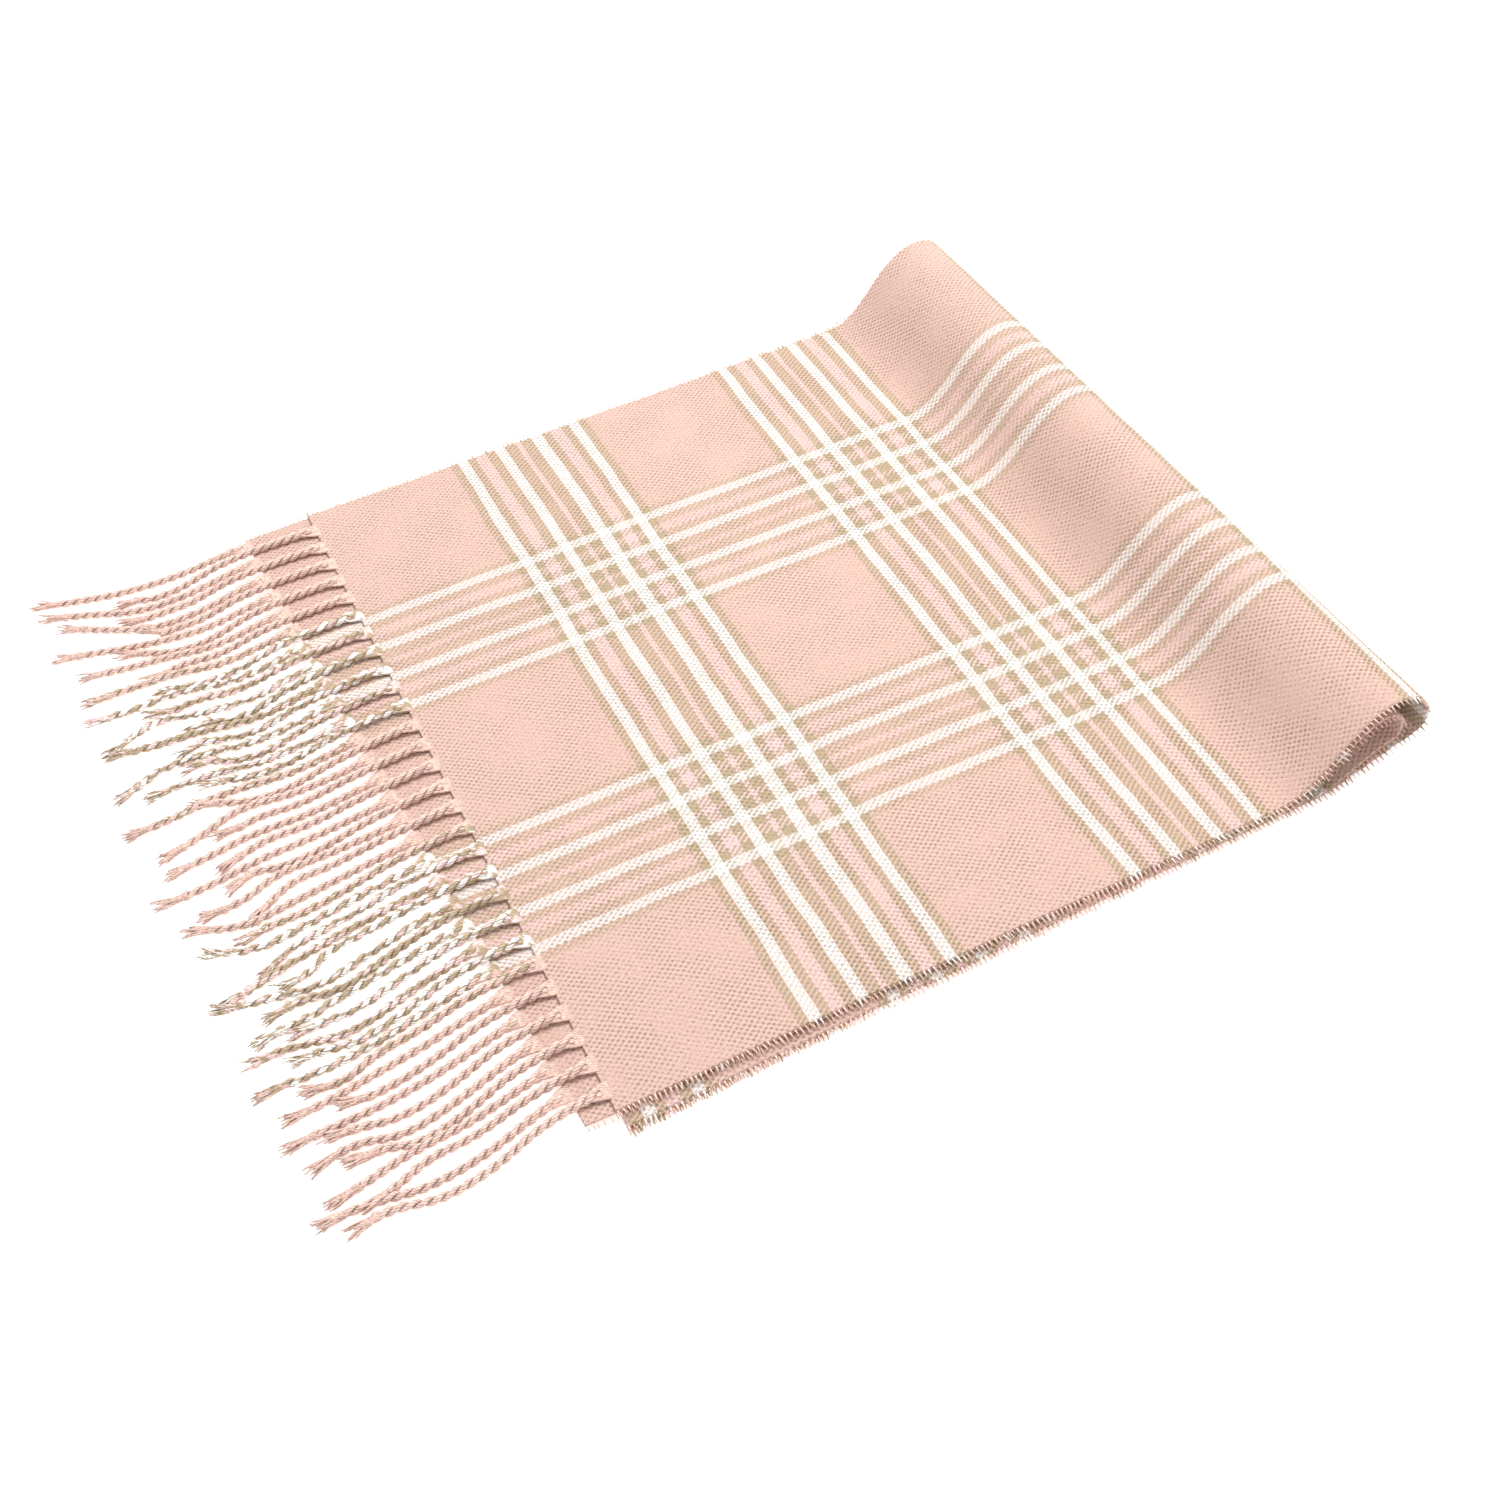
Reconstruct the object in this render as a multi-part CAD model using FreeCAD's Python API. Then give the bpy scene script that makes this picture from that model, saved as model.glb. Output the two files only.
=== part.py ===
import FreeCAD
import Part
import math
import os

# A woven plaid wrap of scarf size, folded in half and then in thirds, with twisted tassels on both cut ends.
# Millimetres. The frame: +X runs along the leaves from the fringe to the folds, +Y across the cloth to its
# far selvedge, +Z up. The origin is the middle of the underside, on the surface that the bundle lies on.
#
# The one strip of cloth runs: top leaf, outer upper fold, fourth leaf, inner left fold, fifth leaf, lower fold
# (the middle of the strip), bottom leaf, outer left fold, third leaf, inner upper fold, second leaf.
# It is modelled with X measured from the fringe edge of the top leaf, and the finished bundle is then moved
# so that the origin is under its centre.

# ---- cloth ----
CLOTH_WIDTH = 301.0
CLOTH_THICKNESS = 1.0
NEST_CLEARANCE = 0.2          # air between two layers that turn together in a fold
BODY_GAP = 0.3                # air between the pair that opens and the leaves under it
SELVEDGE_WIDTH = 3.6          # cut weft ends that stand past each long edge
SELVEDGE_THICKNESS = 0.5

# ---- leaves ----
FOLDED_LENGTH = 296.0         # from the top leaf's fringe edge to the outermost line of the upper fold
TOP_SETBACK = 66.0            # how far short of that line the top pair leaves the stack and starts to rise
LOWER_SETBACK = 46.0          # the same for the third and fourth leaves
FIFTH_SETBACK = 41.0
BOTTOM_SETBACK = 18.0
LEFT_FOLD_START = 3.0         # where the four lower leaves end at the fringe side
SECOND_OVERHANG_FAR = 26.0    # the second leaf shows past the top one, more on its far side
SECOND_OVERHANG_NEAR = 10.0
LEFT_ASKEW = -5.0             # the lower leaves stand out past the near edge at their left folds
LOWER_FOLD_ASKEW = 9.0        # and are drawn in at the lower fold, so the bundle lies a little twisted
FOLD_SLANT = 9.0              # how much nearer to the fringe the far end of the folds lies than their near end

# ---- folds ----
FOLD_HEIGHT = 36.0            # crest of the upper fold above the surface
CREST_LENGTH = 19.0           # flat top of the fold's outline, before its corners are rounded
CREST_SETBACK = 5.0
RISE_RUN = 18.0               # how far the top pair slides on before it climbs
NOSE_HEIGHT = 17.0            # where the fold turns back under itself
NOSE_OVERREACH = 1.0          # the corner of the outline, which its rounding brings back to the folded length
THROAT_HEIGHT = 11.5
THROAT_SETBACK = 12.0
SETTLE_RUN = 10.0             # how far a lower leaf slides on before it climbs
INNER_FOLD_GAP = 4.0          # how far the inner cloth of the upper fold lies from the outer one at the crest
LOWER_FOLD_SETBACK = 5.0      # the low fold lies this far inside the upper one
LOWER_FOLD_HEIGHT = 8.8
LOWER_CREST_SETBACK = 7.0

# ---- tassels ----
TASSELS_PER_END = 28
TASSELS_PER_NODE = 2
TASSEL_DIAMETER = 3.2
TASSEL_LENGTH = 84.0
TASSEL_LENGTH_SPREAD = 4.0
TASSEL_EDGE_MARGIN = 6.0      # from a selvedge to the axis of the first tassel
TASSEL_LEAD = 8.0             # straight run out of the cloth
TASSEL_DROP_RUN = 26.0        # run over which a tassel comes down to the surface
TASSEL_FAN = 9.0              # how far the outermost tassels lean outwards at their own length
TASSEL_WAVE = 2.2             # how far a tassel wanders to each side
TASSEL_WAVE_LENGTH = 75.0     # along the tassels
TASSEL_WAVE_TURNS = 1.5       # turns of the wave's phase across the cloth
TASSEL_FLOOR_CLEARANCE = 0.1
TASSEL_ROOT_CLEARANCE = 0.3   # between a cloth edge and the end of a tassel, which may set off at a small angle
CLOTH_RIDE_CLEARANCE = 0.1    # between a tassel and the leaf that it lies over
ARC_SHARE = 0.45              # of the shorter run that a rounded corner uses up

# ---- worked out from the sizes above ----
LEAVES = ["bottom", "fifth", "fourth", "third", "second", "top"]   # from the surface up


def leaf_height(name):
    """Height of the middle of a leaf's thickness."""
    place = LEAVES.index(name)
    gap = BODY_GAP if name in ("second", "top") else 0.0
    return (place + 0.5) * CLOTH_THICKNESS + gap


FAR_EDGE = CLOTH_WIDTH / 2
NEAR_EDGE = -CLOTH_WIDTH / 2
FOLD_THICKNESS = CLOTH_THICKNESS - NEST_CLEARANCE
TASSEL_RADIUS = TASSEL_DIAMETER / 2
RIDE_HEIGHT = leaf_height("second") + CLOTH_THICKNESS / 2 + CLOTH_RIDE_CLEARANCE + TASSEL_RADIUS
TASSEL_PITCH = (CLOTH_WIDTH - 2 * TASSEL_EDGE_MARGIN) / (TASSELS_PER_END - 0.5)
TOP_FLAT_END = FOLDED_LENGTH - TOP_SETBACK
LOWER_FLAT_END = FOLDED_LENGTH - LOWER_SETBACK
FIFTH_FLAT_END = FOLDED_LENGTH - FIFTH_SETBACK
BOTTOM_FLAT_END = FOLDED_LENGTH - BOTTOM_SETBACK
LOWER_FOLD_END = FOLDED_LENGTH - LOWER_FOLD_SETBACK
point = FreeCAD.Vector


# ---- rounded outlines: straight runs joined by tangent arcs ----
def rounded(points, share=ARC_SHARE):
    """A route's corners as (start, middle, end, centre) arcs, each as large as its runs allow."""
    corners = []
    for before, corner, after in zip(points, points[1:], points[2:]):
        back, on = before - corner, after - corner
        reach = share * min(back.Length, on.Length)
        back.normalize()
        on.normalize()
        half_turn = (math.pi - back.getAngle(on)) / 2
        radius = reach / math.tan(half_turn)
        bisector = (back + on).normalize()
        centre = corner + bisector * math.hypot(reach, radius)
        corners.append((corner + back * reach, centre - bisector * radius, corner + on * reach, centre))
    return corners


def route_wire(points):
    """An open wire along a route, with its corners rounded."""
    edges, last = [], points[0]
    for start, middle, end, _ in rounded(points):
        edges.append(Part.LineSegment(last, start).toShape())
        edges.append(Part.Arc(start, middle, end).toShape())
        last = end
    edges.append(Part.LineSegment(last, points[-1]).toShape())
    return Part.Wire(edges)


def shifted(points, offset):
    """The edges of a route in the XZ plane moved sideways by offset, to the left of its direction."""
    across = point(0, -1, 0)

    def sideways(a, b):
        return across.cross(b - a).normalize() * offset

    edges, last = [], points[0] + sideways(points[0], points[1])
    for start, middle, end, centre in rounded(points):
        turn = (start - centre).cross(end - centre)
        grow = -offset if turn.dot(across) > 0 else offset
        moved = [centre + (p - centre) * (1 + grow / (p - centre).Length) for p in (start, middle, end)]
        edges.append(Part.LineSegment(last, moved[0]).toShape())
        edges.append(Part.Arc(*moved).toShape())
        last = moved[2]
    edges.append(Part.LineSegment(last, points[-1] + sideways(points[-2], points[-1])).toShape())
    return edges


def band(points, thickness):
    """The cut face of a bent sheet: a band of that thickness about the route."""
    one = shifted(points, thickness / 2)
    other = shifted(points, -thickness / 2)
    ends = [
        Part.LineSegment(one[0].Vertexes[0].Point, other[0].Vertexes[0].Point).toShape(),
        Part.LineSegment(one[-1].Vertexes[-1].Point, other[-1].Vertexes[-1].Point).toShape(),
    ]
    return Part.Face(Part.Wire(Part.__sortEdges__(one + other + ends)))


# ---- leaves ----
def slab(corners, z_middle, thickness):
    """A flat sheet with the given corners, as (x, y) pairs."""
    ring = [point(x, y, z_middle - thickness / 2) for x, y in corners]
    return Part.Face(Part.makePolygon(ring + ring[:1])).extrude(point(0, 0, thickness))


def second_edge(y):
    """Where the second leaf's fringe edge lies along X, a little askew."""
    share = (y - NEAR_EDGE) / CLOTH_WIDTH
    return -(SECOND_OVERHANG_NEAR + share * (SECOND_OVERHANG_FAR - SECOND_OVERHANG_NEAR))


def fold_slant(y):
    """How far the folds, and the leaf ends that meet them, are moved along X at a place across the cloth."""
    return -FOLD_SLANT * (y - NEAR_EDGE) / CLOTH_WIDTH


# Each leaf's fringe-side end, its fold-side end, and how far it is shifted across the cloth at each.
SPANS = {
    "top": (lambda y: 0.0, TOP_FLAT_END, 0.0, 0.0),
    "second": (second_edge, TOP_FLAT_END, 0.0, 0.0),
    "third": (lambda y: LEFT_FOLD_START, LOWER_FLAT_END, LEFT_ASKEW, 0.0),
    "fourth": (lambda y: LEFT_FOLD_START, LOWER_FLAT_END, LEFT_ASKEW, 0.0),
    "fifth": (lambda y: LEFT_FOLD_START, FIFTH_FLAT_END, LEFT_ASKEW, LOWER_FOLD_ASKEW),
    "bottom": (lambda y: LEFT_FOLD_START, BOTTOM_FLAT_END, LEFT_ASKEW, LOWER_FOLD_ASKEW),
}


def leaf_strip(name, y_from, y_to, thickness):
    """The stretch of a leaf between two places across the cloth."""
    start, end, start_shift, end_shift = SPANS[name]
    corners = [
        (start(y_from), y_from + start_shift),
        (end + fold_slant(y_from), y_from + end_shift),
        (end + fold_slant(y_to), y_to + end_shift),
        (start(y_to), y_to + start_shift),
    ]
    return slab(corners, leaf_height(name), thickness)


def leaf(name):
    return leaf_strip(name, NEAR_EDGE, FAR_EDGE, CLOTH_THICKNESS)


def leaf_selvedges(name):
    """The cut weft ends past both long edges of a leaf."""
    near = leaf_strip(name, NEAR_EDGE - SELVEDGE_WIDTH, NEAR_EDGE, SELVEDGE_THICKNESS)
    far = leaf_strip(name, FAR_EDGE, FAR_EDGE + SELVEDGE_WIDTH, SELVEDGE_THICKNESS)
    return Part.makeCompound([near, far])


# ---- folds ----
def upper_fold_route():
    """The outer cloth of the upper fold, from the top leaf over the crest and back to the fourth leaf."""
    top, fourth = leaf_height("top"), leaf_height("fourth")
    crest = FOLD_HEIGHT - FOLD_THICKNESS / 2
    crest_end = FOLDED_LENGTH - CREST_SETBACK
    return [
        point(TOP_FLAT_END, 0, top),
        point(TOP_FLAT_END + RISE_RUN, 0, top),
        point(crest_end - CREST_LENGTH, 0, crest),
        point(crest_end, 0, crest),
        point(FOLDED_LENGTH + NOSE_OVERREACH, 0, NOSE_HEIGHT),
        point(FOLDED_LENGTH - THROAT_SETBACK, 0, THROAT_HEIGHT),
        point(LOWER_FLAT_END + SETTLE_RUN, 0, fourth),
        point(LOWER_FLAT_END, 0, fourth),
    ]


def inner_fold_route():
    """The inner cloth of the upper fold, a smaller loop from the second leaf to the third."""
    gap, second, third = INNER_FOLD_GAP, leaf_height("second"), leaf_height("third")
    start, rise, crest_start, crest_end, nose, throat, settle, end = upper_fold_route()
    return [
        point(start.x, 0, second),
        point(rise.x, 0, second),
        crest_start + point(gap * 0.45, 0, -gap),
        crest_end + point(-gap * 0.35, 0, -gap),
        nose + point(-gap * 1.1, 0, 0),
        throat + point(-gap * 0.4, 0, gap * 0.9),
        point(settle.x, 0, third),
        point(end.x, 0, third),
    ]


def lower_fold_route():
    """The middle of the strip, from the fifth leaf over a low crest to the bottom leaf."""
    fifth, bottom = leaf_height("fifth"), leaf_height("bottom")
    return [
        point(FIFTH_FLAT_END, 0, fifth),
        point(FIFTH_FLAT_END + SETTLE_RUN, 0, fifth),
        point(LOWER_FOLD_END - LOWER_CREST_SETBACK, 0, LOWER_FOLD_HEIGHT),
        point(LOWER_FOLD_END, 0, LOWER_FOLD_HEIGHT / 2),
        point(LOWER_FOLD_END - LOWER_CREST_SETBACK / 2, 0, bottom),
        point(BOTTOM_FLAT_END, 0, bottom),
    ]


def half_ring(upper, lower, thickness):
    """The cut face of cloth that turns from one leaf straight back into another, in a half circle."""
    high, low = leaf_height(upper), leaf_height(lower)
    middle, bend = (high + low) / 2, (high - low) / 2
    outer, inner = bend + thickness / 2, bend - thickness / 2

    def arc(radius):
        top = point(LEFT_FOLD_START, 0, middle + radius)
        side = point(LEFT_FOLD_START - radius, 0, middle)
        bottom = point(LEFT_FOLD_START, 0, middle - radius)
        return Part.Arc(top, side, bottom).toShape(), top, bottom

    (outside, top_out, bottom_out), (inside, top_in, bottom_in) = arc(outer), arc(inner)
    ends = [Part.LineSegment(top_out, top_in).toShape(), Part.LineSegment(bottom_out, bottom_in).toShape()]
    return Part.Face(Part.Wire(Part.__sortEdges__([outside, inside] + ends)))


def square(y):
    """The left folds run straight across the cloth."""
    return 0.0


# Each fold's cut face for a thickness, how far it is shifted across the cloth, and how its line runs.
FOLDS = {
    "upper_fold_outer": (lambda thickness: band(upper_fold_route(), thickness), 0.0, fold_slant),
    "upper_fold_inner": (lambda thickness: band(inner_fold_route(), thickness), 0.0, fold_slant),
    "lower_fold": (lambda thickness: band(lower_fold_route(), thickness), LOWER_FOLD_ASKEW, fold_slant),
    "left_fold_outer": (lambda thickness: half_ring("third", "bottom", thickness), LEFT_ASKEW, square),
    "left_fold_inner": (lambda thickness: half_ring("fourth", "fifth", thickness), LEFT_ASKEW, square),
}


def fold_strip(name, y_from, y_to, thickness):
    """The stretch of a fold between two places across the cloth."""
    cut_face, shift, run = FOLDS[name]
    face = cut_face(thickness)
    face.translate(point(run(y_from), y_from + shift, 0))
    return face.extrude(point(run(y_to) - run(y_from), y_to - y_from, 0))


def fold_selvedges(name):
    """The cut weft ends past both long edges of a fold."""
    near = fold_strip(name, NEAR_EDGE - SELVEDGE_WIDTH, NEAR_EDGE, SELVEDGE_THICKNESS)
    far = fold_strip(name, FAR_EDGE, FAR_EDGE + SELVEDGE_WIDTH, SELVEDGE_THICKNESS)
    return Part.makeCompound([near, far])


# ---- tassels ----
def tassel_route(index, top_fringe):
    """The line that a tassel follows, from its cloth edge down to the surface and out to its tip."""
    shift = 0.5 if top_fringe else 0.0
    y = FAR_EDGE - TASSEL_EDGE_MARGIN - (index + shift) * TASSEL_PITCH
    length = TASSEL_LENGTH + TASSEL_LENGTH_SPREAD * math.sin(2.4 * index)
    edge = (0.0 if top_fringe else second_edge(y + TASSEL_RADIUS)) - TASSEL_ROOT_CLEARANCE
    start_height = RIDE_HEIGHT if top_fringe else leaf_height("second")
    lead = TASSEL_LEAD - second_edge(y) if top_fringe else TASSEL_LEAD
    rest = TASSEL_RADIUS + TASSEL_FLOOR_CLEARANCE
    tail = length - lead - TASSEL_DROP_RUN

    def along(out, height):
        """The point that far out of the cloth edge. Both fringes follow one field of lines, so none cross."""
        x = edge - out
        spread = -x / TASSEL_LENGTH
        lean = TASSEL_FAN * (2 * y / CLOTH_WIDTH) * spread**2
        phase = 2 * math.pi * (TASSEL_WAVE_TURNS * y / CLOTH_WIDTH + x / TASSEL_WAVE_LENGTH)
        return point(x, y + lean + min(spread, 1) * TASSEL_WAVE * math.sin(phase), height)

    return [
        along(0, start_height),
        along(lead, start_height),
        along(lead + TASSEL_DROP_RUN * 0.75, rest),
        along(lead + TASSEL_DROP_RUN + tail * 0.3, rest),
        along(lead + TASSEL_DROP_RUN + tail * 0.65, rest),
        along(length, rest),
    ]


def tassel(index, top_fringe):
    route = tassel_route(index, top_fringe)
    path = route_wire(route)
    end = Part.Wire(Part.makeCircle(TASSEL_RADIUS, route[0], route[1] - route[0]))
    return path.makePipeShell([end], True, False), path.Length


def fringe(name, top_fringe):
    """The tassels of one cut end, a pair to a node."""
    nodes = {}
    for first in range(0, TASSELS_PER_END, TASSELS_PER_NODE):
        pair = [tassel(i, top_fringe) for i in range(first, first + TASSELS_PER_NODE)]
        for solid, length in pair:
            expected = math.pi * TASSEL_RADIUS**2 * length
            assert abs(solid.Volume - expected) < 0.02 * expected, (name, first, solid.Volume, expected)
        nodes[f"{name}_{first // TASSELS_PER_NODE + 1:02d}"] = Part.makeCompound([s for s, _ in pair])
    return nodes


# ---- the whole part ----
def build():
    nodes = {}
    for name in LEAVES:
        nodes[f"{name}_leaf"] = leaf(name)
        nodes[f"{name}_leaf_selvedges"] = leaf_selvedges(name)
    for name in FOLDS:
        nodes[name] = fold_strip(name, NEAR_EDGE, FAR_EDGE, FOLD_THICKNESS)
        nodes[f"{name}_selvedges"] = fold_selvedges(name)
    nodes.update(fringe("top_tassels", True))
    nodes.update(fringe("second_tassels", False))
    return nodes


def centred(nodes):
    """Moves every node so that the origin is under the middle of them all, and returns the move."""
    middle = Part.makeCompound(list(nodes.values())).optimalBoundingBox(False).Center
    move = point(-middle.x, -middle.y, 0)
    for shape in nodes.values():
        shape.translate(move)
    return move


nodes = build()
move = centred(nodes)
os.makedirs("parts", exist_ok=True)
for name, shape in nodes.items():
    assert shape.isValid(), name
    shape.exportStep(f"parts/{name}.step")

upper_cloth = route_wire(upper_fold_route()).Length
lower_cloth = route_wire(lower_fold_route()).Length
hinge_x = (LOWER_FLAT_END + upper_cloth + TOP_FLAT_END) / 2 + fold_slant(0) + move.x
hinge_z = (RIDE_HEIGHT + TASSEL_RADIUS + TASSEL_FLOOR_CLEARANCE) / 2
print(f"moved by {move.x:.3f}, {move.y:.3f}")
print(f"cloth in the outer upper fold {upper_cloth:.1f}, in the lower fold {lower_cloth:.1f}")
print(f"hinge line of the top pair: x {hinge_x:.2f}, z {hinge_z:.2f}")
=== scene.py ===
import bisect
import logging
import math
import random
from collections.abc import Callable
from dataclasses import dataclass, field
from enum import Enum
from functools import partial

import bmesh
import bpy
from bmesh.types import BMesh
from bpy.types import Material, Node, NodeSocket, NodeTree, Object
from mathutils import Euler, Matrix, Vector, noise
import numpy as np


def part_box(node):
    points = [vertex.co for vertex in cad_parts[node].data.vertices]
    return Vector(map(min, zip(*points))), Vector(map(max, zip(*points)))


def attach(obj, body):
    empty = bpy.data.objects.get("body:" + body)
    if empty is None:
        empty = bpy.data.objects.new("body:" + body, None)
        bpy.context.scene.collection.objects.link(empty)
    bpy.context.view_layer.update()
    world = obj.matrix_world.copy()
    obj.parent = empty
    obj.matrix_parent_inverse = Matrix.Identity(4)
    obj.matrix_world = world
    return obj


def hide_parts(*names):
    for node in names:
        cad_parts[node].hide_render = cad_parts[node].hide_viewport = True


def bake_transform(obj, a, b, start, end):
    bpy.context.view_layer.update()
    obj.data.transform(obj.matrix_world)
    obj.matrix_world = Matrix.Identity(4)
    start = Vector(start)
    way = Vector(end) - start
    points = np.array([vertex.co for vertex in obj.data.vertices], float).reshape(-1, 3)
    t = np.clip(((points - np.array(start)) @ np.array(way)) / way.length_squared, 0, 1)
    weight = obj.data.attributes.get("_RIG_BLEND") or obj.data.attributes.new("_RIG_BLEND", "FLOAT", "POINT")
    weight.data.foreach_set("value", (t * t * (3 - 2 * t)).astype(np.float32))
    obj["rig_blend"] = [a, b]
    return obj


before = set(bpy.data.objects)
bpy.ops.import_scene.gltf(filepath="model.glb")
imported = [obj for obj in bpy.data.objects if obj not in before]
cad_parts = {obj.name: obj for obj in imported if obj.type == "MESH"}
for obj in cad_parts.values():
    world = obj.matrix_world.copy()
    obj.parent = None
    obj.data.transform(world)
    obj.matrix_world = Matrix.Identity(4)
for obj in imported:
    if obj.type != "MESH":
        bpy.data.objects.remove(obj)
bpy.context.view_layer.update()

# A woven plaid wrap, folded in half and then in thirds, with twisted tassels at both cut ends.
# Metres, in the same frame as the solid model: +X from the fringe to the folds, +Y across the cloth to its
# far selvedge, +Z up. Sizes are written in millimetres and turned to metres where they are used.

MM = 0.001
CLOTH_MAP = "cloth"  # UV map: metres along the strip, metres across from the far selvedge
PLY_MAP = "ply"  # UV map: metres along a tassel, turns round one of its plies
WARP_PLACE = "warp_place"  # attribute: where across the cloth a tassel's yarns come from, in metres
OUTWARD = "outward"  # attribute: how far out from a tassel's middle line, in metres, which sets the painted shade in the groove between the plies
OPEN_AIR = 2.0 * MM  # what that says for yarn that isn't in the groove between two plies
Pair = tuple[float, float]
Triple = tuple[float, float, float]
Adder = Callable[..., Node]  # add_node with a material's tree filled in
log = logging.getLogger("folded_wrap")


# -------- small helpers

def linear(hex_colour: str) -> tuple[float, float, float, float]:
    """Turns an sRGB hex colour to linear red, green, blue and alpha.

    Args:
        hex_colour: six hex digits.

    Returns:
        The linear colour with an alpha of 1.
    """
    parts = [int(hex_colour[i:i + 2], 16) / 255 for i in (0, 2, 4)]
    red, green, blue = (c / 12.92 if c <= 0.04045 else ((c + 0.055) / 1.055) ** 2.4 for c in parts)
    return red, green, blue, 1.0


def add_node(tree: NodeTree, kind: str, inputs: dict | list = (), **settings) -> Node:
    """Adds a node with its settings and links.

    Args:
        tree: the material's or world's node tree.
        kind: the node's type without its ShaderNode, and after a dot its operation.
        inputs: a value, or a node or socket to link, for each input in order or by name.
        **settings: the node's own properties.

    Returns:
        The new node.
    """
    kind, _, operation = kind.partition(".")
    node = tree.nodes.new(f"ShaderNode{kind}")
    if operation:
        node.operation = operation
    for name, value in settings.items():
        setattr(node, name, value)
    sockets = [s for s in node.inputs if not s.is_unavailable]
    for name, value in inputs.items() if isinstance(inputs, dict) else enumerate(inputs):
        socket = sockets[name] if isinstance(name, int) else next(s for s in sockets if s.name == name)
        if isinstance(value, Node):
            value = next(s for s in value.outputs if not s.is_unavailable)
        if isinstance(value, NodeSocket):
            tree.links.new(value, socket)
        else:
            socket.default_value = value
    return node


def product(add: Adder, *factors: Node) -> Node:
    """Multiplies numbers in order.

    Args:
        add: adds a node to the material.
        *factors: feed the numbers.

    Returns:
        The last multiply node.
    """
    total = factors[0]
    for factor in factors[1:]:
        total = add("Math.MULTIPLY", [total, factor])
    return total


def new_material(name: str) -> tuple[Material, Adder]:
    """Makes an empty node material.

    Args:
        name: the finish's name.

    Returns:
        The material and its adder.
    """
    material = bpy.data.materials.new(name)
    material.use_nodes = True
    material.node_tree.nodes.clear()
    return material, partial(add_node, material.node_tree)


def piece_from(name: str, mesh: BMesh, material: Material) -> Object:
    """Closes a bmesh into a smooth object at the origin.

    Args:
        name: the piece's name.
        mesh: the finished bmesh, in metres; it is freed.
        material: the piece's finish.

    Returns:
        The new object.
    """
    data = bpy.data.meshes.new(name)
    mesh.to_mesh(data)
    mesh.free()
    data.shade_smooth()
    data.materials.append(material)
    piece = bpy.data.objects.new(name, data)
    bpy.context.scene.collection.objects.link(piece)
    return piece


def middle(node: str) -> Vector:
    """The middle of a solid's box, in metres."""
    low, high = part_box(node)
    return (low + high) / 2


# -------- yarns, sett and weave

class Yarn(Enum):
    """The four dyed yarns, as sRGB hex."""

    BLUSH = "DDBAAC"
    KHAKI = "BCA68A"
    CREAM = "F1ECE6"
    PALE_ROSE = "EBC9C4"


@dataclass(frozen=True)
class Sett:
    """The order of coloured yarns, the same in warp and weft: a ribbed group of bars on a blush ground."""

    # Distance from a group's middle where each bar begins, in mm, and its yarn.
    bars: tuple[tuple[float, Yarn], ...] = (
        (0.0, Yarn.PALE_ROSE),
        (1.1, Yarn.KHAKI),
        (6.0, Yarn.CREAM),
        (10.0, Yarn.KHAKI),
        (13.6, Yarn.PALE_ROSE),
        (18.4, Yarn.KHAKI),
        (22.0, Yarn.CREAM),
        (26.0, Yarn.KHAKI),
        (29.2, Yarn.BLUSH),
    )
    reach: float = 36.0  # mm that the colour bands are laid out over
    warp_groups: Pair = (91.0, 210.5)  # mm from the far selvedge
    weft_first: float = 89.8  # mm from the fringe edge
    weft_pitch: float = 115.6
    hem: float = 32.0  # mm of plain ground at each fringe edge
    strip_end: float = 2000.0  # mm from the first fringe edge to the last

    def colour_at(self, add: Adder, distance: Node) -> Node:
        """Colours a yarn by its distance from the nearest group's middle.

        Args:
            add: adds a node to the material.
            distance: feeds the distance in mm.

        Returns:
            The colour ramp node.
        """
        share = add("Math.DIVIDE", [distance, self.reach])
        bands = add("ValToRGB", [share])
        ramp = bands.color_ramp
        ramp.interpolation = "CONSTANT"
        ramp.elements.remove(ramp.elements[1])
        ramp.elements[0].color = linear(self.bars[0][1].value)
        for start, yarn in self.bars[1:]:
            ramp.elements.new(start / self.reach).color = linear(yarn.value)
        return bands

    def warp_colour(self, add: Adder, across: Node) -> Node:
        """Colours the lengthwise yarn that lies that many mm from the far selvedge."""
        moved = [add("Math.SUBTRACT", [across, group]) for group in self.warp_groups]
        away = [add("Math.ABSOLUTE", [distance]) for distance in moved]
        return self.colour_at(add, add("Math.MINIMUM", away))

    def weft_colour(self, add: Adder, along: Node) -> Node:
        """Colours the crosswise yarn that lies that many mm along the strip."""
        inside = add("Math.MAXIMUM", [along, self.hem])
        moved = add("Math.SUBTRACT", [inside, self.weft_first])
        nearest = add("Math.PINGPONG", [moved, self.weft_pitch / 2])
        in_hem = add("Math.GREATER_THAN", [along, self.strip_end - self.hem])
        plain = add("Math.MULTIPLY_ADD", [in_hem, self.reach, nearest])
        return self.colour_at(add, plain)


# -------- finishes

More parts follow.
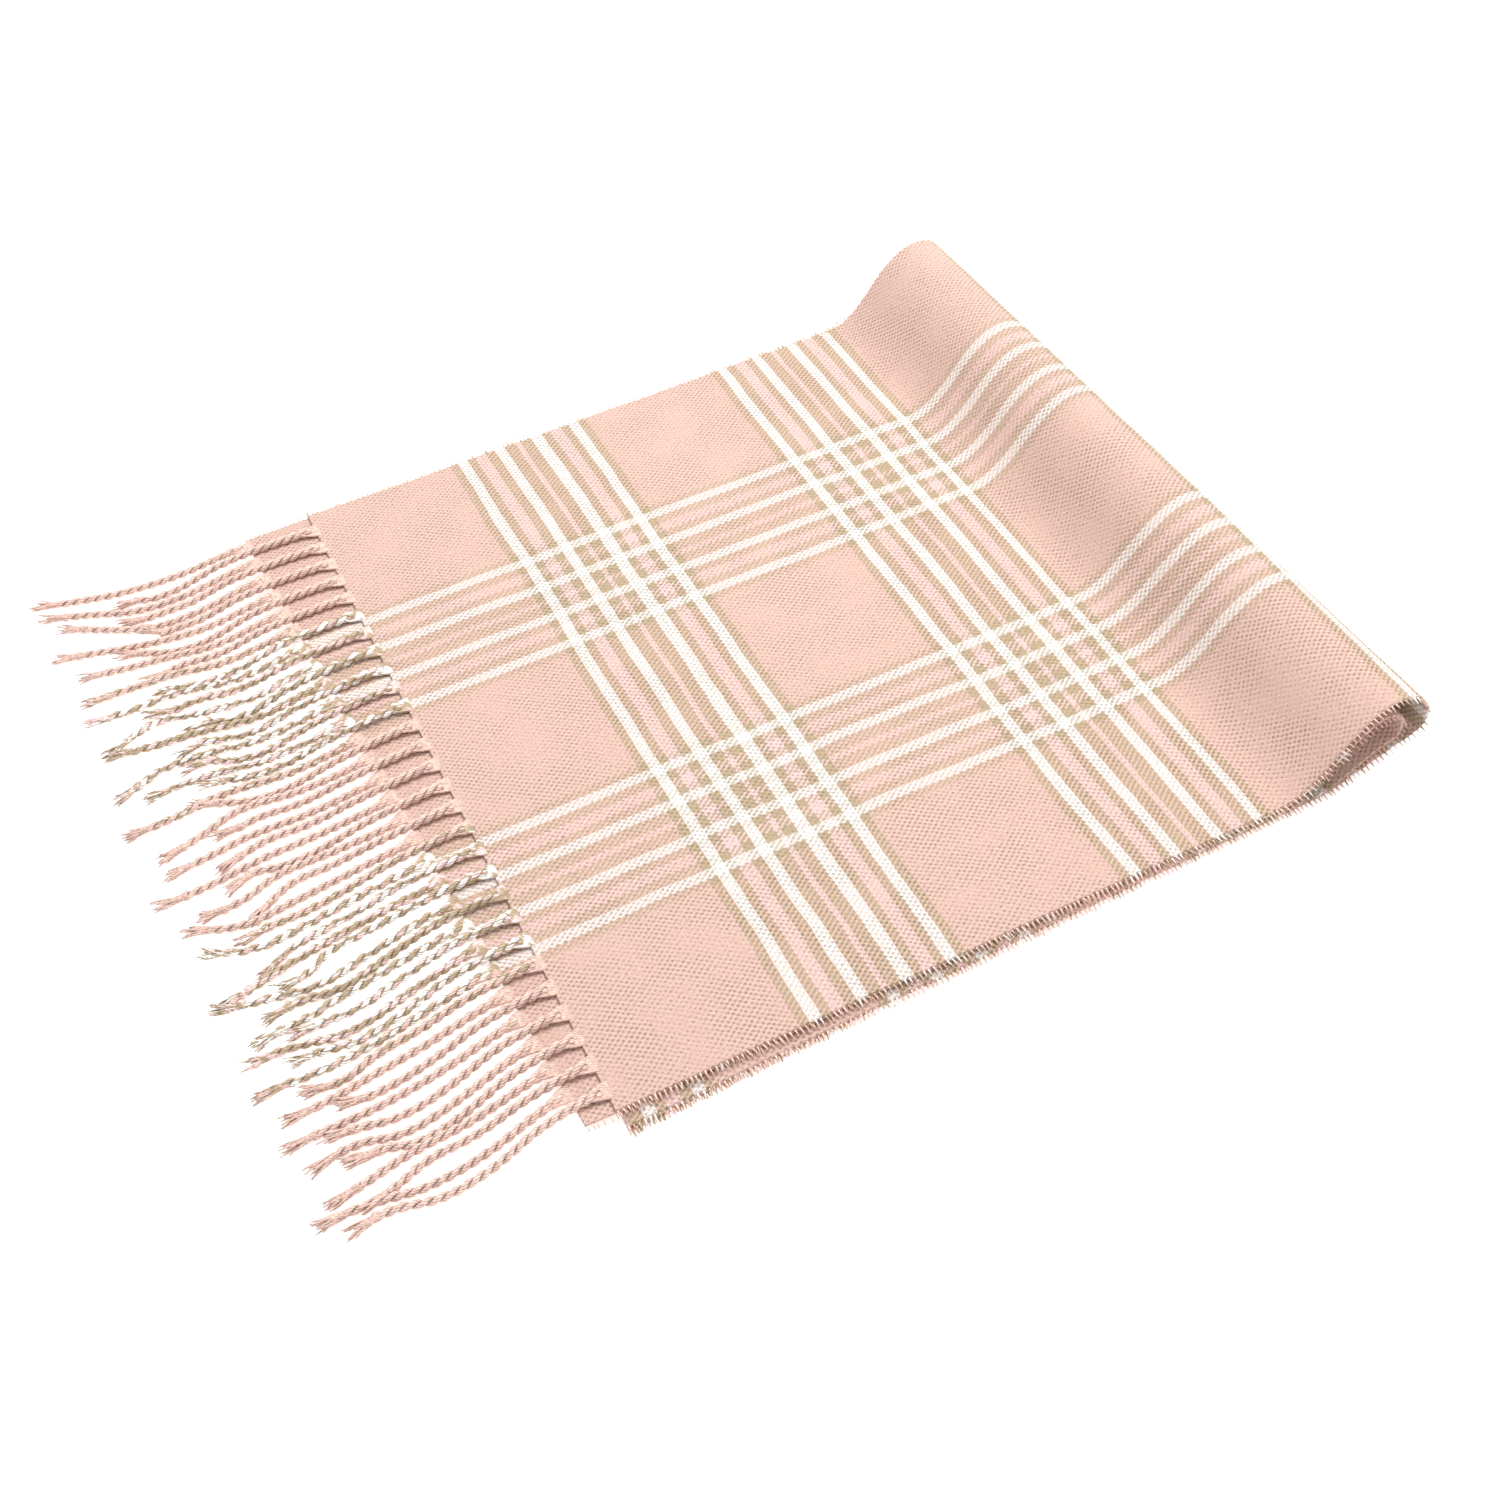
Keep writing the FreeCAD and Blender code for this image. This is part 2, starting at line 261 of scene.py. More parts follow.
@dataclass(frozen=True)
class WovenTwill:
    """Brushed acrylic in a 2/2 twill: soft and matt, with a faint nap, small hollows, and painted shade on
    the sides of its yarns and in those hollows.
    """

    sett: Sett = Sett()
    end_spacing: float = 0.5  # mm between lengthwise yarns
    pick_spacing: float = 0.675  # mm between crosswise yarns
    warp_share: float = 0.36  # how much of the face the lengthwise yarns cover
    yarn_side_shade: float = 0.16  # painted shade: how much darker the sides of a yarn are
    pinhole_shade: float = 0.42  # painted shade: how much darker the small holes are where the twill lines cross
    loft: float = 0.40  # how far the nap of cream yarn spreads over the yarn beside it
    loft_greens: Pair = (0.65, 0.8)  # how green a yarn is that has no such nap, and one that has it all
    wander: float = 3.4  # mm that a stripe strays from straight
    wander_scale: float = 0.018  # waves to the mm
    hole_edge: float = -0.35  # where a pinhole begins: -1 on a float, 1 in the middle of the hole
    hole_lint: Pair = (1.4, 0.4)  # how deep it is where lint is thin, and where it is thick
    hole_cloud: Pair = (0.45, 1.3)  # and from one patch of cloth to the next
    lint_scale: float = 0.9  # fibres to the mm
    lint_tone: Pair = (0.88, 1.1)  # how light the cloth is between fibres, and on one
    cloud_scale: float = 0.05  # patches to the mm
    cloud_tone: Pair = (0.965, 1.035)  # how light the dye took, from patch to patch
    bump: float = 0.55  # how strongly light shows the yarns' roundness
    bump_height: float = 0.3  # mm from the bottom of a hole to the top of a yarn
    roughness: float = 0.92
    sheen: float = 0.12

    def make(self) -> Material:
        """Builds the material."""
        material, add = new_material("woven_twill")
        place = add("UVMap", uv_map=CLOTH_MAP)
        in_mm = add("VectorMath.MULTIPLY", [place, (1000, 1000, 0)])
        drift = add("TexNoise", {
            "Vector": in_mm, "Scale": self.wander_scale, "Detail": 5.0, "Roughness": 0.55})
        centred = add("VectorMath.SUBTRACT", [drift.outputs["Color"], (0.5, 0.5, 0.5)])
        stray = add("VectorMath.SCALE", {0: centred, "Scale": self.wander})
        yarns = add("VectorMath.ADD", [in_mm, stray])
        along, across, _ = add("SeparateXYZ", [yarns]).outputs
        picks = add("Math.DIVIDE", [along, self.pick_spacing])
        ends = add("Math.DIVIDE", [across, self.end_spacing])

        # Which yarn lies on top: each end passes over two picks, one pick later than the end beside it.
        end_number = add("Math.FLOOR", [ends])
        walk = add("Math.ADD", [picks, end_number])
        twill = add("Math.FRACT", [add("Math.DIVIDE", [walk, 4.0])])
        warp_up = add("Math.LESS_THAN", [twill, self.warp_share])

        # The colour of the yarn on top, each yarn of one colour from side to side.
        pick_number = add("Math.FLOOR", [picks])
        pick_place = add("Math.MULTIPLY", [pick_number, self.pick_spacing])
        end_place = add("Math.MULTIPLY", [end_number, self.end_spacing])
        weft = self.sett.weft_colour(add, pick_place)
        warp = self.sett.warp_colour(add, end_place)
        topmost = add("Mix", [warp_up, weft, warp], data_type="RGBA")
        paler = add("Mix", [1.0, weft, warp], data_type="RGBA", blend_type="LIGHTEN")
        parts = add("SeparateColor", [paler.outputs[2]])
        lofty = add("MapRange", [parts.outputs["Green"], *self.loft_greens, 0.0, self.loft])
        dyed = add("Mix", [lofty, topmost.outputs[2], paler.outputs[2]], data_type="RGBA")

        # Roundness of each yarn, and the dip where it goes under, for the bump and for painted shade.
        end_turn = add("Math.PINGPONG", [ends, 0.5])
        pick_turn = add("Math.PINGPONG", [picks, 0.5])
        crown = add("Mix", [warp_up, pick_turn, end_turn], data_type="FLOAT")
        over = add("MapRange", [twill, 0.0, self.warp_share])
        under = add("MapRange", [twill, self.warp_share, 1.0])
        float_share = add("Mix", [warp_up, under, over], data_type="FLOAT")
        arch = add("Math.PINGPONG", [float_share, 0.5])
        height = add("Math.ADD", [crown, arch])  # 0 to 1

        # Small holes in rows, two to each repeat of the twill, where four floats meet: dents in the bump, and
        # painted shade.
        waves = [add("Math.MULTIPLY", [yarn, math.pi / 2]) for yarn in (picks, ends)]
        lattice = product(add, *(add("Math.COSINE", [wave]) for wave in waves))
        hole = add("MapRange", [lattice, self.hole_edge, 1.0], interpolation_type="SMOOTHSTEP")

        # Fibre lint, and yarn that took the dye a little unevenly. A MapRange lists its value, the range that
        # the value comes from and the range that it goes to.
        lint = add("TexNoise", {"Vector": in_mm, "Scale": self.lint_scale, "Detail": 3.0, "Roughness": 0.7})
        cloud = add("TexNoise", {"Vector": in_mm, "Scale": self.cloud_scale, "Detail": 3.0})
        # Painted shade on the sides of each yarn and where it dips under.
        shaded = add("MapRange", [height, 0.0, 0.75, 1.0 - self.yarn_side_shade, 1.0])
        uneven = add("MapRange", [lint, 0.35, 0.65, *self.hole_lint])
        patchy = add("MapRange", [cloud, 0.35, 0.62, *self.hole_cloud])
        hole = product(add, hole, uneven, patchy)
        # Painted shade in the small holes.
        pinhole_shaded = add("MapRange", [hole, 0.0, 1.0, 1.0, 1.0 - self.pinhole_shade])
        linty = add("MapRange", [lint, 0.3, 0.7, *self.lint_tone])
        cloudy = add("MapRange", [cloud, 0.25, 0.75, *self.cloud_tone])
        tone = product(add, shaded, pinhole_shaded, linty, cloudy)
        colour = add("VectorMath.SCALE", {0: dyed.outputs[2], "Scale": tone})

        nap = add("Math.ADD", [lint, height])
        nap = add("Math.SUBTRACT", [nap, hole])
        bump = add("Bump", {"Height": nap, "Strength": self.bump, "Distance": self.bump_height * MM})
        shader = add("BsdfPrincipled", {
            "Base Color": colour, "Normal": bump, "Roughness": self.roughness, "Sheen Weight": self.sheen,
            "Specular IOR Level": 0.2})
        add("OutputMaterial", {"Surface": shader})
        return material


@dataclass(frozen=True)
class SelvedgeEnds:
    """Cut ends of the crosswise yarn: dry, fluffy tips, each in its pick's own dye, with painted light that
    makes them lighter than the cloth.
    """

    sett: Sett = Sett()
    lint_scale: float = 900.0  # fibres to the metre
    lint_tone: Pair = (1.05, 1.5)  # how light the yarn is between fibres, and on one; both above 1, painted light that lifts the ends out of their shade
    roughness: float = 0.95
    sheen: float = 0.2

    def make(self) -> Material:
        """Builds the material."""
        material, add = new_material("selvedge_ends")
        place = add("UVMap", uv_map=CLOTH_MAP)
        in_mm = add("VectorMath.MULTIPLY", [place, (1000, 1000, 0)])
        axes = add("SeparateXYZ", [in_mm])
        dyed = self.sett.weft_colour(add, axes.outputs["X"])
        where = add("TexCoord")
        lint = add("TexNoise", {"Vector": where.outputs["Object"], "Scale": self.lint_scale})
        # Fibre lint, with painted light: every end is lighter than its dye.
        tone = add("MapRange", [lint, 0.3, 0.7, *self.lint_tone])
        colour = add("VectorMath.SCALE", {0: dyed, "Scale": tone})
        shader = add("BsdfPrincipled", {
            "Base Color": colour, "Roughness": self.roughness, "Sheen Weight": self.sheen,
            "Specular IOR Level": 0.2})
        add("OutputMaterial", {"Surface": shader})
        return material


@dataclass(frozen=True)
class TasselYarn:
    """The cloth's own lengthwise yarns twisted into plies: matt, with fine lines of yarn that wind round,
    painted shade between those lines and painted shade in the groove between the plies.
    """

    sett: Sett = Sett()
    ply_width: float = 5.2  # mm of cloth whose yarns make one ply
    yarn_turn: float = 7.0  # mm of tassel for one turn of the yarns round their ply
    yarns_seen: float = 5.0  # lines of yarn round a ply, fewer than the real ten so that they show
    depth: float = 0.35  # how much stronger the dyes stand apart in tight yarn than in cloth
    dimness: float = 0.04  # how much darker all of them look there
    strength: float = 0.78  # how much of a dye's strength is left under the loose fibre
    groove: float = 0.28  # painted shade: how much light is left in the groove between the plies
    groove_reach: Pair = (0.55, 1.3)  # mm from the tassel's middle line to the groove, and out to full light
    line_shade: Pair = (0.5, 1.25)  # painted shade: how light it is between two lines of yarn, and on one
    lint_scale: float = 700.0  # fibres to the metre
    lint_tone: Pair = (0.70, 1.2)
    fuzz: float = 0.07  # how far pale loose fibre veils the dye
    roughness: float = 0.9
    sheen: float = 0.15

    def make(self) -> Material:
        """Builds the material."""
        material, add = new_material("tassel_yarn")
        place = add("UVMap", uv_map=PLY_MAP)
        axes = add("SeparateXYZ", [place])
        wound = add("Math.DIVIDE", [axes.outputs["X"], self.yarn_turn * MM])
        turns = add("Math.ADD", [wound, axes.outputs["Y"]])
        share = add("Math.PINGPONG", [turns, 0.5])
        width = add("Math.MULTIPLY", [share, 2 * self.ply_width])
        source = add("Attribute", attribute_name=WARP_PLACE)
        source_mm = add("Math.MULTIPLY", [source.outputs["Fac"], 1000.0])
        across = add("Math.ADD", [source_mm, width])
        dyed = add("BrightContrast", {
            "Color": self.sett.warp_colour(add, across), "Bright": -self.dimness, "Contrast": self.depth})
        dyed = add("HueSaturation", {"Color": dyed, "Saturation": self.strength})
        lines = add("Math.MULTIPLY", [turns, self.yarns_seen])
        crown = add("Math.PINGPONG", [lines, 0.5])
        where = add("TexCoord")
        lint = add("TexNoise", {"Vector": where.outputs["Object"], "Scale": self.lint_scale})
        # Painted shade between the lines of yarn.
        shaded = add("MapRange", [crown, 0.0, 0.35, *self.line_shade])
        linty = add("MapRange", [lint, 0.3, 0.7, *self.lint_tone])
        # Painted shade in the groove between the plies, from how far the yarn lies out from the tassel's
        # middle line.
        out = add("Attribute", attribute_name=OUTWARD)
        bottom, top = (reach * MM for reach in self.groove_reach)
        lit = add("MapRange", [out.outputs["Fac"], bottom, top, self.groove, 1.0])
        colour = add("VectorMath.SCALE", {0: dyed, "Scale": product(add, shaded, linty, lit)})
        colour = add("Mix", [self.fuzz, colour, (1.0, 1.0, 1.0, 1.0)], data_type="RGBA").outputs[2]
        bump = add("Bump", {"Height": crown, "Strength": 0.5, "Distance": 0.2 * MM})
        shader = add("BsdfPrincipled", {
            "Base Color": colour, "Normal": bump, "Roughness": self.roughness, "Sheen Weight": self.sheen,
            "Specular IOR Level": 0.2})
        add("OutputMaterial", {"Surface": shader})
        return material


@dataclass(frozen=True)
class WhiteTable:
    """A matt white laminate top: even and without gloss."""

    colour: str = "FAFAFA"
    glow: float = 0.50  # light from below, as on a lit table, which keeps shadows faint

    def make(self) -> Material:
        """Builds the material."""
        material, add = new_material("white_table")
        shader = add("BsdfPrincipled", {
            "Base Color": linear(self.colour), "Roughness": 0.9, "Specular IOR Level": 0.1,
            "Emission Color": (1.0, 1.0, 1.0, 1.0), "Emission Strength": self.glow})
        add("OutputMaterial", {"Surface": shader})
        return material


# -------- lines that cloth follows

class Line:
    """A smooth line in the XZ plane, measured along its length. Vectors are (x, z) in metres."""

    def __init__(self, points: list[Vector]) -> None:
        """Measures a line through the given points."""
        self.points = points
        self.measured = [0.0]
        for a, b in zip(points, points[1:]):
            self.measured.append(self.measured[-1] + (b - a).length)

    @classmethod
    def through(cls, corners: list[Vector], steps: int = 40) -> "Line":
        """Bends a line softly at each corner.

        Args:
            corners: the line's two ends, and the corners that pull it between them.
            steps: how many short runs make one bend.

        Returns:
            A line of parabolic arcs that meet halfway between the corners.
        """
        points = [corners[0]]
        for k in range(1, len(corners) - 1):
            start = corners[0] if k == 1 else (corners[k - 1] + corners[k]) / 2
            end = corners[-1] if k == len(corners) - 2 else (corners[k] + corners[k + 1]) / 2
            for i in range(1, steps + 1):
                t = i / steps
                points.append(start.lerp(corners[k], t).lerp(corners[k].lerp(end, t), t))
        return cls(points)

    @property
    def length(self) -> float:
        """The whole length in metres."""
        return self.measured[-1]

    def at(self, distance: float) -> Vector:
        """The point that far along."""
        distance = min(max(distance, 0.0), self.length)
        i = min(max(bisect.bisect_right(self.measured, distance), 1), len(self.points) - 1)
        run = self.measured[i] - self.measured[i - 1]
        share = (distance - self.measured[i - 1]) / run if run else 0.0
        return self.points[i - 1].lerp(self.points[i], share)

    def parted_at_nose(self) -> tuple["Line", "Line"]:
        """The two parts on either side of the point with the highest x."""
        nose = max(range(len(self.points)), key=lambda i: self.points[i].x)
        return Line(self.points[:nose + 1]), Line(self.points[nose:])


# -------- the cloth

STRIP_MIDDLE = middle("top_leaf").y  # the line down the middle of the top pair
PILE_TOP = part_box("top_leaf")[1].z  # the top of the flat pile
PILE_SWELL = 0.9 * MM  # how far a soft pile swells at its top
SWELLS = ((17, 13, 0.3, 0.5), (45, 38, 4.1, 0.25))  # waves per metre along X and Y, offset and strength
FLAT_SIDE_UP = Matrix.Rotation(math.pi, 4, "Z")  # turns a three-sided tuft so that a face catches the light


class Hold(Enum):
    """Which bodies a run of cloth goes with."""

    LIFTS = ("top_pair", "lower_leaves")  # starts on the pair that opens
    STAYS = ("lower_leaves", "top_pair")  # starts on the leaves that stay
    RESTS = ("lower_leaves", "lower_leaves")  # never bends


def pile_rise(x: float, y: float, z: float) -> float:
    """How far the soft pile swells above its flat height there, in metres: more, the higher the layer."""
    swell = 0.5
    for along, across, offset, strength in SWELLS:
        swell += strength * noise.noise(Vector((x * along, y * across, offset)))
    return min(z / PILE_TOP, 1.0) * PILE_SWELL * swell


@dataclass
class ClothRun:
    """One run of the strip: a sheet of cloth along a line, with cut weft ends on both of its long edges."""

    name: str
    line: Line  # from the run's first end to its last
    hold: Hold
    stands_for: tuple[str, ...]  # the solids that the cloth replaces
    strip_start: Pair  # metres along the whole strip where it begins, near and far
    skew: Pair = (0.0, 0.0)  # mm pushed across, at the fringe and the fold side
    skew_from: float = 0.0  # x where the push begins and ends, in metres
    skew_to: float = 1.0
    slant: float = 0.0  # metres that the run's beginning is cut shorter at its near edge
    backward: bool = False  # whether the strip is followed from the line's end to its beginning
    fold_slant: float = 0.009  # metres that the folds at +X stand further in at the far selvedge
    pivot: float = 0.06  # x of a place where every leaf lies flat
    lean: float = 0.0025  # metres that a weft bar runs out of square over the cloth's width
    width: float = 0.301
    thickness: float = 0.92  # mm
    cell: Pair = (1.6, 3.0)  # mm, along and across
    rim: float = 0.35  # mm, the width of the outermost cells, so that edge shading stays narrow
    ripple: float = 0.5  # mm that the long edges stray
    ripple_waves: Triple = (30.0, 9.0, 7.7)  # per metre along and across, and an offset
    tuft_spacing: float = 1.75  # mm
    tuft_inset: Pair = (0.6, 0.3)  # mm left bare at the run's beginning and end
    tuft_length: Pair = (2.3, 3.1)
    tuft_root: float = 0.5  # mm that a tuft reaches into the cloth
    tuft_radius: float = 0.44
    tuft_thickness: Pair = (0.75, 1.2)  # shares of that radius
    tuft_evenness: Pair = (0.85, 1.15)  # shares of the spacing
    tuft_tip: float = 0.45  # the tip's radius as a share of the root's
    tuft_lean: Pair = (0.08, 0.08)  # along the edge, as a slope: usual and spread
    tuft_lift: Pair = (-0.08, 0.07)
    tuft_shift: Pair = (-0.1, 0.2)  # mm from the middle of the cloth's thickness
    far_tufts: float = 1.35  # how much longer and ruffled the ends are along the far selvedge
    seed: int = 1

    def __post_init__(self) -> None:
        """Finds where the line crosses the middle of the pile."""
        pairs = zip(self.line.measured, self.line.points, self.line.points[1:])
        self.crossings = [d for d, a, b in pairs if (a.x - self.pivot) * (b.x - self.pivot) < 0]
        self.from_left = self.line.points[0].x < self.pivot

    def slip(self, across: float) -> float:
        """How far the folds at +X are drawn in, that far across, in metres."""
        return self.fold_slant * (1 - across / self.width)

    def last(self, across: float) -> float:
        """The run's own length, that far across: each crossing of the pile is shorter by the slip."""
        return self.line.length - self.slip(across) * len(self.crossings)

    def strip_place(self, distance: float, across: float) -> float:
        """Metres along the whole strip for a distance along this run, that far across."""
        near, far = self.strip_start
        gone = distance - self.first(across)
        start = far + (near - far) * across / self.width + self.lean * (0.5 - across / self.width)
        return start - gone if self.backward else start + gone

    def strip_stop(self) -> Pair:
        """Metres along the whole strip where the run ends, near and far."""
        near, far = (self.strip_place(self.last(across), across) for across in (self.width, 0.0))
        return near + self.lean / 2, far - self.lean / 2

    def first(self, across: float) -> float:
        """Where along the line the cloth begins, that far across from its far selvedge."""
        return self.slant * across / self.width

    def push(self, x: float) -> float:
        """How far the cloth is moved across where it lies askew, in metres."""
        share = min(max((x - self.skew_from) / (self.skew_to - self.skew_from), 0.0), 1.0)
        return (self.skew[0] + share * (self.skew[1] - self.skew[0])) * MM

    def at(self, distance: float, across: float) -> Vector:
        """The middle of the cloth at a place on it.

        Args:
            distance: metres along the run.
            across: metres from the far selvedge.

        Returns:
            The point in the frame, in metres.
        """
        slip = self.slip(across)
        passed = sum(distance > crossing - slip for crossing in self.crossings)
        p = self.line.at(distance + slip * passed)
        if (passed % 2 == 1) == self.from_left:
            p = p - Vector((slip, 0))
        y = self.width / 2 + STRIP_MIDDLE - across + self.push(p.x)
        along, over, offset = self.ripple_waves
        ripple = self.ripple * MM * noise.noise(Vector((p.x * along, across * over, offset)))
        return Vector((p.x, y + ripple, p.y + pile_rise(p.x, y, p.y)))

    def near_rim(self, share: float, length: float, cells: int) -> float:
        """Places a line of the grid, and draws the line next to each edge close to it.

        Args:
            share: the line's place as a share of the length.
            length: the cloth's length in that direction, in metres.
            cells: how many cells it is cut into.

        Returns:
            Metres from the beginning.
        """
        if 0.5 < share * cells < 1.5:
            return self.rim * MM
        if 0.5 < (1 - share) * cells < 1.5:
            return length - self.rim * MM
        return share * length

    def weave(self, finish: Material) -> Object:
        """Builds the cloth as a sheet with its own thickness.

        Args:
            finish: the woven finish.

        Returns:
            The cloth's object.
        """
        along = round(self.line.length / (self.cell[0] * MM))
        over = round(self.width / (self.cell[1] * MM))
        mesh = bmesh.new()
        bmesh.ops.create_grid(mesh, x_segments=along, y_segments=over, size=0.5)
        uv = mesh.loops.layers.uv.new(CLOTH_MAP)
        spots = {}
        for vert in mesh.verts:
            across = self.near_rim(0.5 - vert.co.y, self.width, over)
            begin = self.first(across)
            distance = begin + self.near_rim(vert.co.x + 0.5, self.last(across) - begin, along)
            spots[vert] = (self.strip_place(distance, across), across)
            vert.co = self.at(distance, across)
        for face in mesh.faces:
            for loop in face.loops:
                loop[uv].uv = spots[loop.vert]
        cloth = piece_from(self.name, mesh, finish)
        wall = cloth.modifiers.new("thickness", "SOLIDIFY")
        wall.thickness = self.thickness * MM
        wall.offset = 0.0
        return cloth

    def trim(self, finish: Material) -> Object:
        """Builds the cut weft ends along both long edges.

        Args:
            finish: the yarn ends' finish.

        Returns:
            One object with every tuft of the run.
        """
        mesh = bmesh.new()
        uv = mesh.loops.layers.uv.new(CLOTH_MAP)
        chance = random.Random(self.seed)
        for across, outward, ruffle in ((0.0, 1.0, self.far_tufts), (self.width, -1.0, 1.0)):
            distance = self.first(across) + self.tuft_inset[0] * MM
            while distance < self.last(across) - self.tuft_inset[1] * MM:
                root = self.at(distance, across)
                ahead = (self.at(distance + MM, across) - self.at(distance - MM, across)).normalized()
                up = ahead.cross(Vector((0, outward, 0))) * outward
                lean = chance.gauss(*self.tuft_lean) * ruffle
                lift = chance.gauss(*self.tuft_lift) * ruffle ** 3
                way = (Vector((0, outward, 0)) + ahead * lean + up * lift).normalized()
                length = chance.uniform(*self.tuft_length) * ruffle * MM
                thick = self.tuft_radius * chance.uniform(*self.tuft_thickness) * math.sqrt(ruffle) * MM
                spot = root + up * chance.uniform(*self.tuft_shift) * MM
                spot += way * (length / 2 - self.tuft_root * MM)
                spot.z = max(spot.z, thick + abs(way.z) * length / 2)
                turned = way.to_track_quat("Z", "Y").to_matrix().to_4x4() @ FLAT_SIDE_UP
                made = bmesh.ops.create_cone(mesh, cap_ends=True, segments=3, radius1=thick,
                                             radius2=thick * self.tuft_tip, depth=length,
                                             matrix=Matrix.Translation(spot) @ turned)
                place = (self.strip_place(distance, across), across)
                for face in {f for v in made["verts"] for f in v.link_faces}:
                    for loop in face.loops:
                        loop[uv].uv = place
                distance += self.tuft_spacing * chance.uniform(*self.tuft_evenness) * MM
        return piece_from(f"{self.name}_selvedges", mesh, finish)

    def hang(self, piece: Object) -> None:
        """Makes a piece of this run move with its bodies."""
        first, second = self.hold.value
        if first == second:
            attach(piece, first)
            return
        nose = Vector((max(p.x for p in self.line.points) - self.fold_slant / 2, STRIP_MIDDLE, 0))
        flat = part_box("top_leaf" if self.hold is Hold.LIFTS else "fourth_leaf")[1].x
        reach = Vector((self.width, self.fold_slant, 0)).normalized() * (nose.x - flat)
        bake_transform(piece, first, second, start=nose - reach, end=nose + reach)

    def build(self, woven: Material, cut: Material) -> list[Object]:
        """Builds the run's cloth and its cut ends, and ties them to the model.

        Args:
            woven: the cloth's finish.
            cut: the yarn ends' finish.

        Returns:
            The cloth, then its cut ends.
        """
        cloth, ends = self.weave(woven), self.trim(cut)
        for piece in (cloth, ends):
            self.hang(piece)
        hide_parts(*self.stands_for)
        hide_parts(*(f"{node}_selvedges" for node in self.stands_for))
        log.info("%s: %.0f mm of cloth, %d faces of cut ends", self.name, self.line.length / MM,
                 len(ends.data.polygons))
        return [cloth, ends]


@dataclass
class FoldedStrip:
    """The whole strip in its folds: five runs that follow two lines a layer apart, and one low loop."""

    rise_run: float = 18.0  # mm that the top pair slides on before it climbs
    crest_length: float = 19.0
    crest_setback: float = 5.0  # from the outermost line of the upper fold
    nose_height: float = 17.0
    nose_overreach: float = 2.6
    throat_height: float = 11.5
    throat_setback: float = 12.0
    settle_run: float = 10.0
    roll_inset: float = 0.4  # from the fold's box to the middle of its cloth
    inner_gap: float = 4.0  # between the roll's two layers
    # How many gaps each corner of the inner layer is moved along X and Z.
    inner_moves: tuple[Pair, ...] = ((0.2, -1.5), (-1.6, -1.6), (-2.9, 0.1), (-1.0, 1.0))
    low_crest_setback: float = 7.0
    low_overreach: float = 1.5
    left_skew: float = -5.0  # mm that the lower leaves are pushed out at their left folds
    right_skew: float = 9.0  # and are drawn in at the low loop
    bottom_group: float = 1.4  # mm from the top leaf's fringe edge to a weft group of the bottom leaf
    second_slant: float = 16.0  # mm that the second leaf is shorter at its near edge
    sett: Sett = field(default_factory=Sett)

    def roll(self) -> list[Vector]:
        """The four corners that pull the high roll's outer layer: crest start and end, nose, throat."""
        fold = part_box("upper_fold_outer")[1]
        crest, edge = fold.z - self.roll_inset * MM, fold.x - self.roll_inset * MM
        corners = ((edge - (self.crest_setback + self.crest_length) * MM, crest),
                   (edge - self.crest_setback * MM, crest),
                   (edge + self.nose_overreach * MM, self.nose_height * MM),
                   (edge - self.throat_setback * MM, self.throat_height * MM))
        return [Vector(corner) for corner in corners]

    def folded_line(self, top: str, below: str, back: str, roll: list[Vector]) -> Line:
        """A layer that runs out on one leaf, round the high roll, back on the next and round its left fold.

        Args:
            top: the node of the leaf that it starts on.
            below: the node of the leaf under the roll.
            back: the node of the leaf that the left fold leads to.
            roll: the corners that pull the roll.

        Returns:
            The layer's line.
        """
        z, z_below, z_back = (middle(n).z for n in (top, below, back))
        (start, _, _), (flat, _, _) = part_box(top)
        (left, _, _), (settled, _, _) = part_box(below)
        bend = (z_below - z_back) / 2
        outward = ((start, z), (flat, z), (flat + self.rise_run * MM, z))
        homeward = ((settled + self.settle_run * MM, z_below), (settled, z_below), (left, z_below),
                    (left - bend, z_below), (left - bend, z_back), (left, z_back))
        return Line.through([Vector(corner) for corner in (*outward, *roll, *homeward)])

    def upper_line(self) -> Line:
        """The outer layer: top leaf, upper fold, fourth leaf and back round to the fifth leaf."""
        return self.folded_line("top_leaf", "fourth_leaf", "fifth_leaf", self.roll())

    def inner_line(self) -> Line:
        """The layer inside: second leaf, upper fold, third leaf and back round to the bottom leaf."""
        corners = zip(self.roll(), self.inner_moves)
        roll = [corner + Vector(move) * self.inner_gap * MM for corner, move in corners]
        return self.folded_line("second_leaf", "third_leaf", "bottom_leaf", roll)

    def low_line(self) -> Line:
        """The low loop in the middle of the strip: fifth leaf, lower fold and bottom leaf."""
        fifth, bottom = middle("fifth_leaf").z, middle("bottom_leaf").z
        (left, _, _), (settled, _, _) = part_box("fifth_leaf")
        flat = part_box("bottom_leaf")[1].x
        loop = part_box("lower_fold")[1]
        crest = loop.z
        edge = loop.x + self.low_overreach * MM
        corners = ((left, fifth), (settled, fifth), (settled + self.settle_run * MM, fifth),
                   (edge - self.low_crest_setback * MM, crest), (edge, crest / 2),
                   (edge - self.low_crest_setback / 2 * MM, bottom), (flat, bottom), (left, bottom))
        return Line.through([Vector(corner) for corner in corners])

    def runs(self) -> list[ClothRun]:
        """The five runs of cloth, from the top leaf down.

        Returns:
            The runs, each with its place on the strip, so that stripes pass from one run to the next.
        """
        over, under = self.upper_line().parted_at_nose()
        inner_over, inner_under = self.inner_line().parted_at_nose()
        low = self.low_line()
        start = over.points[0].x

